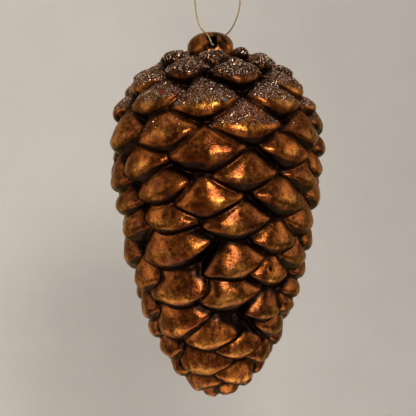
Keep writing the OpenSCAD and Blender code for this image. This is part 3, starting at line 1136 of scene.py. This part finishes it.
def flake_points():
    """Squares of the grid are drawn at random, weighed by area times the glitter to the power of
    DENSER, with none on the beads. Each draws one flake, whose axis is the square's normal tilted
    at random. Two axes across it come from cross products."""
    east = np.roll(finished_points, -1, 1) - finished_points
    south = np.diff(finished_points, axis=0, append=finished_points[-1:])
    facing = np.cross(south, east)
    area = np.linalg.norm(facing, axis=2)
    weight = area * glitter ** DENSER
    for bearing, drop, radius, _ in SPOTS:
        weight *= 1 - dent_shape(bearing, drop, radius * BARE_ROUND, radius * BARE_ROUND)
    weight[-1] = 0
    pick = rng.choice(weight.size, FLAKES, p=weight.ravel() / weight.sum())

    def drawn_from(grid):
        """The grid's values at the squares that were drawn."""
        return grid.reshape(-1, 3)[pick]

    normal = drawn_from(facing / np.maximum(area, LEAST_AREA)[..., None])
    spread = rng.uniform(0, 1, (2, FLAKES, 1))
    centre = drawn_from(finished_points)
    centre = centre + drawn_from(east) * spread[0] + drawn_from(south) * spread[1]
    axis = unit(normal + rng.normal(0, FLAKE_TILT, (FLAKES, 3)))
    side = unit(np.cross(axis, rng.normal(size=(FLAKES, 3))))
    radius = rng.uniform(*FLAKE_R, (FLAKES, 1))
    wide, deep, up = side * radius, np.cross(axis, side) * radius, axis * radius * FLAKE_THICK
    corners = np.stack([wide, deep, -wide, -deep, up, -up], 1)
    return (centre + normal * FLAKE_LIFT)[:, None, :] + corners


flakes = flake_points()
print(f"{len(flakes)} flakes between {flakes[..., 2].min():.0f} and {flakes[..., 2].max():.0f} mm")

# %% [markdown]
# The glitter is foil of three colours: copper, rose and silver. Each flake could be an object with
# a material of its own, but thousands of objects are slow. So all flakes are one mesh, and a number
# on each flake picks its foil.

# %% Glitter
FAN = np.array([
    (4, 0, 1), (4, 1, 2), (4, 2, 3), (4, 3, 0), (5, 1, 0), (5, 2, 1), (5, 3, 2), (5, 0, 3),
])
CORNERS = 6
COPPER_FOIL = (0.70, 0.33, 0.16)
ROSE_FOIL = (0.92, 0.62, 0.42)
SILVER_FOIL = (0.95, 0.90, 0.80)
ROSE_EDGE = (0.2, 0.6)
SILVER_EDGE = (0.75, 0.95)
FOIL_ROUGH = 0.3


def make_glitter():
    """Every flake's six corners are joined by the same fan of eight triangles."""
    faces = (np.arange(FLAKES)[:, None, None] * CORNERS + FAN).reshape(-1, 3)
    mesh = bpy.data.meshes.new("glitter")
    mesh.from_pydata(flakes.reshape(-1, 3) * MM, [], faces.tolist())
    mesh.update()
    write_numbers(mesh, "shade", np.repeat(rng.uniform(0, 1, FLAKES), CORNERS))
    return mesh


def glitter_material():
    """Cut foil, whose colour follows each flake's own number."""
    material, tree, shader = new_material("glitter_foil")
    shade = attribute(tree, "shade")
    colour = mix_colour(tree, remap(tree, shade, *ROSE_EDGE), COPPER_FOIL, ROSE_FOIL)
    colour = mix_colour(tree, remap(tree, shade, *SILVER_EDGE), colour, SILVER_FOIL)
    link(tree, colour, shader.inputs["Base Color"])
    set_numbers(shader, {"Metallic": 1.0, "Roughness": FOIL_ROUGH})
    return material


glitter_flakes = add_piece("glitter", make_glitter())
glitter_flakes.data.materials.append(glitter_material())
print(len(glitter_flakes.data.polygons), "faces in the glitter")

# %% [markdown]
# The thread is two gilt strands twisted together. At 0.8 mm the twist needn't be modelled: a sine
# wave that climbs round the thread paints shade into the grooves between bright ridges, and a bump
# follows it.

# %% Finish of the thread
TWIST_UP = 6.3
TWIST_ACROSS = 3.0
TWIST_HEIGHT = 0.0002
FIBRE_GRAIN = (0.3, 2, 0.6)
FIBRE_LIGHT = (0.4, 0.7, 0, 0.4)
FIBRE_ROUGH = (0.3, 0.7, 0.28, 0.45)
THREAD_METAL = 0.8
# painted shade in the grooves of the twist
GROOVE_SHADE_GILT = (0.20, 0.11, 0.022)
RIDGE_GILT = (0.78, 0.54, 0.17)
BRIGHT_GILT = (0.95, 0.80, 0.42)


def coordinate(tree, place, axis):
    """One of a place's three numbers."""
    node = tree.nodes.new("ShaderNodeSeparateXYZ")
    link(tree, place, node.inputs[0])
    return node.outputs[axis]


def thread_material():
    """The twist is sin(TWIST_UP z + TWIST_ACROSS x), with z and x in millimetres, taken from 0 to
    1; where it is low, shade is painted into the grooves. Fibres of fine grain lighten it and change
    how rough it is."""
    material, tree, shader = new_material("gilt_thread")
    place = place_mm(tree)
    slant = maths(tree, "ADD", maths(tree, "MULTIPLY", coordinate(tree, place, "Z"), TWIST_UP),
                  maths(tree, "MULTIPLY", coordinate(tree, place, "X"), TWIST_ACROSS))
    wave = remap(tree, maths(tree, "SINE", slant), -1, 1)
    fibre = grain(tree, place, *FIBRE_GRAIN)
    colour = mix_colour(tree, wave, GROOVE_SHADE_GILT, RIDGE_GILT)
    colour = mix_colour(tree, remap(tree, fibre, *FIBRE_LIGHT), colour, BRIGHT_GILT)
    link(tree, colour, shader.inputs["Base Color"])
    link(tree, remap(tree, fibre, *FIBRE_ROUGH), shader.inputs["Roughness"])
    set_numbers(shader, {"Metallic": THREAD_METAL})
    bumped(tree, shader, wave, TWIST_HEIGHT)
    return material


gilt = thread_material()
thread.data.materials.append(gilt)
print(gilt.name, "has", len(gilt.node_tree.nodes), "nodes")

# %% [markdown]
# Above the picture the two ends of the thread are tied. A ball would do from afar. An overhand knot
# is a trefoil, and the trefoil has a formula, so a real knot costs no more than a ball.

# %% Knot
KNOT_TURNS = 240
KNOT_SIDES = 12
KNOT_MIDDLE = 1.8
KNOT_WIDE = (0.75, 0.33)
KNOT_TALL = 1.35


def make_knot():
    """A tube round a trefoil: with t from 0 to 2 pi the path is (wide + swing cos 3t) times
    (cos 2t, sin 2t), and KNOT_TALL sin 3t up. Its ring of sides stands across the path."""
    t = np.arange(KNOT_TURNS) / KNOT_TURNS * 2 * math.pi
    wide = KNOT_WIDE[0] + KNOT_WIDE[1] * np.cos(3 * t)
    path = np.stack([wide * np.cos(2 * t), wide * np.sin(2 * t), KNOT_TALL * np.sin(3 * t)], 1)
    ahead = unit(np.roll(path, -1, 0) - np.roll(path, 1, 0))
    side = unit(np.cross(ahead, np.stack([np.cos(2 * t), np.sin(2 * t), 0 * t], 1)))
    other = np.cross(ahead, side)
    angle = np.arange(KNOT_SIDES) / KNOT_SIDES * 2 * math.pi
    cos, sin = np.cos(angle)[None, :, None], np.sin(angle)[None, :, None]
    ring = cos * side[:, None] + sin * other[:, None]
    return (path[:, None] + ring * THREAD_D / MM / 2 + (0, 0, KNOT_MIDDLE)) * MM


knot = add_piece("tied_knot", make_grid_mesh("tied_knot", make_knot(), wrap_rows=True))
knot.data.materials.append(gilt)
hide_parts("thread_knot")
print(len(knot.data.polygons), "faces in the knot")

# %% [markdown]
# The ornament hangs in front of a plain pale wall, over a floor that is below the picture. Both are
# matt plaster. From behind the wall has to be clear, or it would hide the ornament in a view from
# the back, so the material is see-through on its back side.

# %% Plaster
STAGE_COLOUR = (0.60, 0.545, 0.485)
STAGE_ROUGH = 0.9
# painted light falloff: the plaster darkens from the left to the right
STAGE_LIGHT_FALLOFF = (-170, 190, 1.0, 0.76)
STAGE_GRAIN = (60, 4, 0.6)
STAGE_CLOUDS = (0.3, 0.7, 0.97, 1.02)


def plaster(name):
    """A matt colour with painted light falloff, which grows darker from the left to the right by
    STAGE_LIGHT_FALLOFF, with faint clouds of grain. A mix by Backfacing swaps the plaster for a
    transparent shader seen from behind."""
    material, tree, shader = new_material(name)
    place = place_mm(tree)
    light_falloff = remap(tree, coordinate(tree, place, "X"), *STAGE_LIGHT_FALLOFF)
    cloud = remap(tree, grain(tree, place, *STAGE_GRAIN), *STAGE_CLOUDS)
    shade = tree.nodes.new("ShaderNodeHueSaturation")
    set_numbers(shade, {"Color": (*STAGE_COLOUR, 1)})
    link(tree, maths(tree, "MULTIPLY", light_falloff, cloud), shade.inputs["Value"])
    link(tree, shade.outputs["Color"], shader.inputs["Base Color"])
    set_numbers(shader, {"Roughness": STAGE_ROUGH})
    clear = tree.nodes.new("ShaderNodeBsdfTransparent")
    behind = tree.nodes.new("ShaderNodeNewGeometry").outputs["Backfacing"]
    either = tree.nodes.new("ShaderNodeMixShader")
    for source, target in zip((behind, shader.outputs[0], clear.outputs[0]), either.inputs):
        link(tree, source, target)
    link(tree, either.outputs[0], tree.nodes["Material Output"].inputs["Surface"])
    return material


print("plaster of colour", STAGE_COLOUR)

# %% [markdown]
# The wall and the floor are flat sheets that reach so far that the camera sees no edge. One curved
# backdrop would hide the line where they meet, but that line is below the picture anyway. They
# belong to the picture and not to the ornament.

# %% Wall and floor
WALL_Y = 0.6
FLOOR_Z = -0.9
STAGE_REACH = 3


def add_sheet(name, corners):
    """One flat face through four corners, with plaster on it."""
    mesh = bpy.data.meshes.new(name)
    mesh.from_pydata(corners, [], [(0, 1, 2, 3)])
    mesh.materials.append(plaster(name))
    sheet = add_object(name, mesh)
    return sheet


far = STAGE_REACH
foot = [(-far, WALL_Y, FLOOR_Z), (far, WALL_Y, FLOOR_Z)]
add_sheet("wall", foot + [(far, WALL_Y, far), (-far, WALL_Y, far)])
add_sheet("floor", [(-far, -far, FLOOR_Z), (far, -far, FLOOR_Z)] + foot[::-1])
print(f"wall {WALL_Y} m behind, floor {-FLOOR_Z} m below")

# %% [markdown]
# Metal looks like what it mirrors. One soft lamp in front, a little to the right and above, makes
# the highlight on each scale. Large weak lamps at the sides draw the edges, a low one keeps the tip
# from going black, and two light the wall alone. A single big dome would flatten every scale.

# %% Lamps
AIM = (0, 0, -0.15)
# place, side in metres, power in watts and aim
LAMPS = {
    "key": ((0.16, -1.2, 0.26), 0.18, 10.8, AIM),
    "left_fill": ((-1.1, -0.2, 0.0), 0.9, 3.0, AIM),
    "right_fill": ((1.1, -0.1, 0.1), 0.8, 3.0, AIM),
    "low_fill": ((0.1, -1.1, -0.5), 0.5, 1.0, AIM),
    "wall_high": ((0, 0.15, 0.45), 0.8, 1.6, (0, WALL_Y, 0)),
    "wall_low": ((0, 0.15, -0.75), 0.8, 3.0, (0, WALL_Y, -0.35)),
}


def area_light(name, place, size, power, aim):
    """A square lamp that faces its aim."""
    data = bpy.data.lights.new(name, "AREA")
    data.size = size
    data.energy = power
    lamp = add_object(name, data)
    lamp.location = place
    lamp.rotation_euler = (Vector(aim) - Vector(place)).to_track_quat("-Z", "Y").to_euler()


for name, lamp in LAMPS.items():
    area_light(name, *lamp)
print(len(bpy.data.lights), "lamps")

# %% [markdown]
# The room itself gives a little warm grey light from everywhere, so that no shadow is quite black.
# A picture of a room would be mirrored in the metal, but an even grey keeps the highlights to the
# lamps. The view is set to Standard, so that a colour comes out as it is written.

# %% Room light
ROOM_COLOUR = (0.8, 0.78, 0.75, 1)
ROOM_STRENGTH = 0.1
world = bpy.data.worlds.new("studio")
bpy.context.scene.world = world
world.use_nodes = True
background = world.node_tree.nodes["Background"]
set_numbers(background, {"Color": ROOM_COLOUR, "Strength": ROOM_STRENGTH})
bpy.context.scene.view_settings.view_transform = "Standard"
print("room light", ROOM_STRENGTH)

# %% [markdown]
# Last, every mesh is measured: a positive volume means that its faces point outwards.

# %% Volumes of the pieces
for piece in (body, knob, glitter_flakes, knot):
    print(piece.name, f"volume {signed_volume(piece.data) * 1e9:.1f} mm3")
